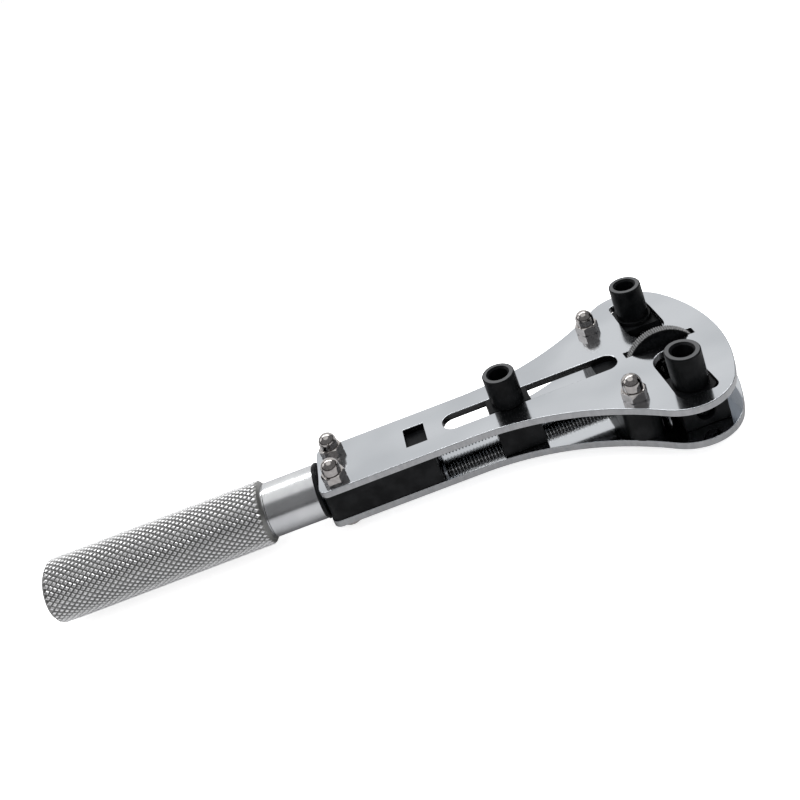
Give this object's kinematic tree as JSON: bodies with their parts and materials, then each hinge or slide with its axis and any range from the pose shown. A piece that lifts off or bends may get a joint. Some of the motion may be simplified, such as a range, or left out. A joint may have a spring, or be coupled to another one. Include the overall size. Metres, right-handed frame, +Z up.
{
  "type": "case back opener",
  "caption": "Adjustable case back opener: a knurled handle drives a sliding middle socket between parallel plates, and a thumb wheel spreads the head sockets.",
  "frame": {"origin": "on the surface that the tool lies on, under the middle of its outline; the thumb wheel's rim rests on that surface", "axes": "+X runs along the tool from the handle to the head, +Y across the head to its left side, +Z up out of the sockets"},
  "size_m": [0.2046, 0.0608, 0.0269],
  "materials": {
    "plate_steel": "bright nickel plate, lightly brushed",
    "black_steel": "blued black, satin",
    "handle_chrome": "bright chrome plate over a diamond knurl",
    "screw_steel": "bright machined steel",
    "nut_nickel": "polished nickel plate"
  },
  "bodies": {
    "frame": {"top_plate": "plate_steel", "bottom_plate": "plate_steel", "end_block": "black_steel", "front_bar": "black_steel", "screw_rear_left": "screw_steel", "screw_rear_right": "screw_steel", "screw_front_left": "screw_steel", "screw_front_right": "screw_steel", "nut_rear_left": "nut_nickel", "nut_rear_right": "nut_nickel", "nut_front_left": "nut_nickel", "nut_front_right": "nut_nickel"},
    "drive": {"handle": "handle_chrome", "neck_washer": "black_steel", "lead_screw": "screw_steel", "thrust_collar": "screw_steel"},
    "mid_jaw": {"mid_jaw_block": "black_steel", "mid_socket": "black_steel"},
    "left_jaw": {"left_jaw_block": "black_steel", "left_socket": "black_steel"},
    "right_jaw": {"right_jaw_block": "black_steel", "right_socket": "black_steel"},
    "cross": {"cross_screw": "black_steel", "thumb_wheel": "black_steel"}
  },
  "joints": [
    {"name": "handle_spin", "type": "hinge", "parent": "frame", "child": "drive", "pos_m": [0, 0, 0.0109], "axis": [1, 0, 0], "range_deg": [-7128, 3888]},
    {"name": "mid_jaw_slide", "type": "slide", "parent": "frame", "child": "mid_jaw", "axis": [1, 0, 0], "range_m": [-0.0108, 0.0198]},
    {"name": "wheel_spin", "type": "hinge", "parent": "frame", "child": "cross", "pos_m": [0.08575, 0, 0.0109], "axis": [0, 1, 0], "range_deg": [-4275, 315]},
    {"name": "left_jaw_slide", "type": "slide", "parent": "frame", "child": "left_jaw", "axis": [0, 1, 0], "range_m": [-0.0095, 0.0007]},
    {"name": "right_jaw_slide", "type": "slide", "parent": "frame", "child": "right_jaw", "axis": [0, -1, 0], "range_m": [-0.0095, 0.0007]}
  ],
  "couplings": [
    {"joint": "mid_jaw_slide", "follows": "handle_spin", "m_per_rad": -0.00015915},
    {"joint": "left_jaw_slide", "follows": "wheel_spin", "m_per_rad": 0.00012732},
    {"joint": "right_jaw_slide", "follows": "wheel_spin", "m_per_rad": 0.00012732}
  ]
}
